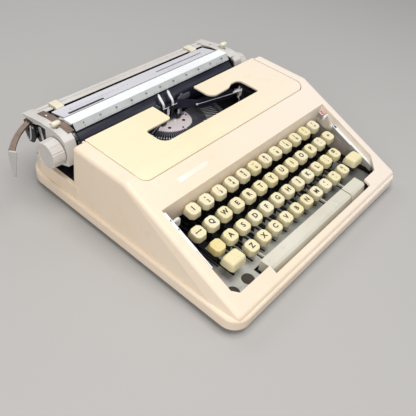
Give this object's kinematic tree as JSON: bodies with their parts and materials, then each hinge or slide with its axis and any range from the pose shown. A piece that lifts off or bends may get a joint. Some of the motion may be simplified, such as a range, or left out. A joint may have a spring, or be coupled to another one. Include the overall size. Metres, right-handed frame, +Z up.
{
  "type": "manual typewriter",
  "caption": "Flat portable manual typewriter with sloping keyboard, hinged ribbon cover, type basket and a sliding carriage with platen, bail and return lever.",
  "frame": {"origin": "middle of the four feet, on the table", "axes": "+X to the typist's right, +Y to the rear, +Z up"},
  "size_m": [0.3443, 0.2955, 0.0871],
  "materials": {
    "shell": "fine satin",
    "cover": "fine satin",
    "key": "satin",
    "lock_key": "satin",
    "bar_key": "satin",
    "carriage_grey": "satin",
    "bail_white": "gloss",
    "scale_grey": "satin",
    "steel": "bright",
    "dark_steel": "satin",
    "frame_steel": "satin",
    "brown_steel": "satin",
    "chrome": "polished",
    "platen": "smooth",
    "foot": "matte",
    "spool": "satin",
    "ribbon": "matte"
  },
  "bodies": {
    "body": {"base_pan": "frame_steel", "body_shell": "shell", "rubber_feet": "foot", "cover_hinge_pins": "steel", "side_frames": "frame_steel", "keyboard_plate": "scale_grey", "lever_fulcrum_rod": "steel", "bar_pivot_rod": "steel", "carriage_rails": "steel", "basket_posts": "steel", "ribbon_cups": "frame_steel"},
    "cover": {"ribbon_cover": "cover"},
    "number_row": {"number_keys": "key", "number_levers": "dark_steel"},
    "upper_row": {"upper_keys": "key", "upper_levers": "dark_steel"},
    "home_row": {"home_keys": "key", "home_levers": "dark_steel"},
    "lower_row": {"lower_keys": "key", "lower_levers": "dark_steel"},
    "strike_key": {"strike_key": "key", "strike_lever": "dark_steel"},
    "space_bar": {"space_bar": "bar_key"},
    "repeat_key": {"repeat_key": "bar_key"},
    "shift": {"shift_keys": "key", "shift_shaft": "dark_steel"},
    "shift_lock": {"shift_lock_key": "lock_key"},
    "backspace": {"backspace_key": "key"},
    "touch_lever": {"touch_lever": "carriage_grey"},
    "ribbon_lever": {"ribbon_lever": "carriage_grey"},
    "basket": {"type_segment": "dark_steel", "segment_plate": "steel", "typebars": "dark_steel", "paper_fingers": "chrome"},
    "strike_typebar": {"strike_typebar": "dark_steel"},
    "vibrator": {"ribbon_vibrator": "chrome", "ribbon_band": "ribbon"},
    "spool_left": {"ribbon_spool_left": "spool"},
    "spool_right": {"ribbon_spool_right": "spool"},
    "carriage": {"carriage_bed": "frame_steel", "slide_blocks": "frame_steel", "end_plates": "brown_steel", "end_cover_left": "carriage_grey", "end_cover_right": "carriage_grey", "rear_bar": "carriage_grey", "paper_table": "carriage_grey"},
    "platen": {"platen_roller": "platen", "platen_shaft": "steel", "platen_ratchet": "steel", "platen_knob_left": "carriage_grey", "platen_knob_right": "carriage_grey"},
    "feed_front": {"feed_roller_front": "platen"},
    "feed_rear": {"feed_roller_rear": "platen"},
    "bail": {"bail_strip": "bail_white", "bail_scale": "scale_grey"},
    "return_lever": {"return_lever": "chrome"},
    "line_space_lever": {"line_space_lever": "cover"},
    "paper_release_lever": {"paper_release_lever": "cover"},
    "margin_left": {"margin_stop_left": "cover"},
    "margin_right": {"margin_stop_right": "cover"}
  },
  "joints": [
    {"name": "cover_hinge", "type": "hinge", "parent": "body", "child": "cover", "pos_m": [0, 0.066, 0.073], "axis": [-1, 0, 0], "range_deg": [0, 70]},
    {"name": "number_row_press", "type": "hinge", "parent": "body", "child": "number_row", "pos_m": [0, 0.066, 0.0166], "axis": [1, 0, 0], "range_deg": [0, 4.15], "stiffness_Nm_per_rad": 14, "springref_deg": -1.23},
    {"name": "upper_row_press", "type": "hinge", "parent": "body", "child": "upper_row", "pos_m": [0, 0.066, 0.0166], "axis": [1, 0, 0], "range_deg": [0, 3.55], "stiffness_Nm_per_rad": 16, "springref_deg": -1.23},
    {"name": "home_row_press", "type": "hinge", "parent": "body", "child": "home_row", "pos_m": [0, 0.066, 0.0166], "axis": [1, 0, 0], "range_deg": [0, 3.1], "stiffness_Nm_per_rad": 18, "springref_deg": -1.23},
    {"name": "lower_row_press", "type": "hinge", "parent": "body", "child": "lower_row", "pos_m": [0, 0.066, 0.0166], "axis": [1, 0, 0], "range_deg": [0, 2.75], "stiffness_Nm_per_rad": 20, "springref_deg": -1.23},
    {"name": "strike_key_press", "type": "hinge", "parent": "body", "child": "strike_key", "pos_m": [0, 0.066, 0.0166], "axis": [1, 0, 0], "range_deg": [0, 4.15], "stiffness_Nm_per_rad": 1.2, "springref_deg": -1.72},
    {"name": "space_bar_press", "type": "hinge", "parent": "body", "child": "space_bar", "pos_m": [0, 0.045, 0.0105], "axis": [1, 0, 0], "range_deg": [0, 1.5], "stiffness_Nm_per_rad": 6, "springref_deg": -1.72},
    {"name": "repeat_key_press", "type": "hinge", "parent": "body", "child": "repeat_key", "pos_m": [0, 0.045, 0.0105], "axis": [1, 0, 0], "range_deg": [0, 1.5], "stiffness_Nm_per_rad": 2, "springref_deg": -1.72},
    {"name": "shift_press", "type": "hinge", "parent": "body", "child": "shift", "pos_m": [0, 0.02, 0.009], "axis": [1, 0, 0], "range_deg": [0, 3.35], "stiffness_Nm_per_rad": 5, "springref_deg": -3.44},
    {"name": "shift_lock_press", "type": "hinge", "parent": "body", "child": "shift_lock", "pos_m": [0, 0.066, 0.0166], "axis": [1, 0, 0], "range_deg": [0, 3.1], "stiffness_Nm_per_rad": 1.2, "springref_deg": -1.72},
    {"name": "backspace_press", "type": "hinge", "parent": "body", "child": "backspace", "pos_m": [0, 0.066, 0.0166], "axis": [1, 0, 0], "range_deg": [0, 3.55], "stiffness_Nm_per_rad": 1.2, "springref_deg": -1.72},
    {"name": "touch_lever_turn", "type": "hinge", "parent": "body", "child": "touch_lever", "pos_m": [-0.133, -0.0545, 0.04418], "axis": [1, 0, 0], "range_deg": [-8, 8]},
    {"name": "ribbon_lever_turn", "type": "hinge", "parent": "body", "child": "ribbon_lever", "pos_m": [0.133, -0.0545, 0.04418], "axis": [1, 0, 0], "range_deg": [-8, 8]},
    {"name": "basket_shift", "type": "slide", "parent": "body", "child": "basket", "axis": [0, 0, 1], "range_m": [-0.005, 0]},
    {"name": "typebar_strike", "type": "hinge", "parent": "basket", "child": "strike_typebar", "pos_m": [-0.009, 0.0468, 0.0479], "axis": [-1, 0, 0], "range_deg": [0, 136]},
    {"name": "vibrator_lift", "type": "slide", "parent": "body", "child": "vibrator", "axis": [0, 0, 1], "range_m": [0, 0.005]},
    {"name": "spool_left_spin", "type": "hinge", "parent": "body", "child": "spool_left", "pos_m": [-0.1, 0.035, 0.06], "axis": [0, 0, 1], "continuous": true},
    {"name": "spool_right_spin", "type": "hinge", "parent": "body", "child": "spool_right", "pos_m": [0.1, 0.035, 0.06], "axis": [0, 0, 1], "continuous": true},
    {"name": "carriage_slide", "type": "slide", "parent": "body", "child": "carriage", "axis": [1, 0, 0], "range_m": [-0.09, 0.11]},
    {"name": "platen_spin", "type": "hinge", "parent": "carriage", "child": "platen", "pos_m": [0, 0.095, 0.06], "axis": [1, 0, 0], "continuous": true},
    {"name": "feed_front_spin", "type": "hinge", "parent": "carriage", "child": "feed_front", "pos_m": [0, 0.08364, 0.04378], "axis": [1, 0, 0], "continuous": true},
    {"name": "feed_rear_spin", "type": "hinge", "parent": "carriage", "child": "feed_rear", "pos_m": [0, 0.10636, 0.04378], "axis": [1, 0, 0], "continuous": true},
    {"name": "bail_lift", "type": "hinge", "parent": "carriage", "child": "bail", "pos_m": [-0.01, 0.114, 0.074], "axis": [-1, 0, 0], "range_deg": [0, 40]},
    {"name": "return_lever_swing", "type": "hinge", "parent": "carriage", "child": "return_lever", "pos_m": [-0.141, 0.141, 0.07], "axis": [0, 0, 1], "range_deg": [0, 16], "stiffness_Nm_per_rad": 0.3, "springref_deg": -5.73},
    {"name": "line_space_turn", "type": "hinge", "parent": "carriage", "child": "line_space_lever", "pos_m": [-0.14, 0.106, 0.075], "axis": [1, 0, 0], "range_deg": [-20, 15]},
    {"name": "paper_release_turn", "type": "hinge", "parent": "carriage", "child": "paper_release_lever", "pos_m": [0.12, 0.112, 0.075], "axis": [1, 0, 0], "range_deg": [0, 20]},
    {"name": "margin_left_slide", "type": "slide", "parent": "carriage", "child": "margin_left", "axis": [1, 0, 0], "range_m": [-0.012, 0.07]},
    {"name": "margin_right_slide", "type": "slide", "parent": "carriage", "child": "margin_right", "axis": [1, 0, 0], "range_m": [-0.07, 0.012]}
  ],
  "couplings": [
    {"joint": "basket_shift", "follows": "shift_press", "m_per_rad": -0.085},
    {"joint": "typebar_strike", "follows": "strike_key_press", "ratio": 32.7},
    {"joint": "vibrator_lift", "follows": "strike_key_press", "m_per_rad": 0.069},
    {"joint": "feed_front_spin", "follows": "platen_spin", "ratio": -3.875},
    {"joint": "feed_rear_spin", "follows": "platen_spin", "ratio": -3.875},
    {"joint": "spool_right_spin", "follows": "spool_left_spin", "ratio": 1}
  ]
}
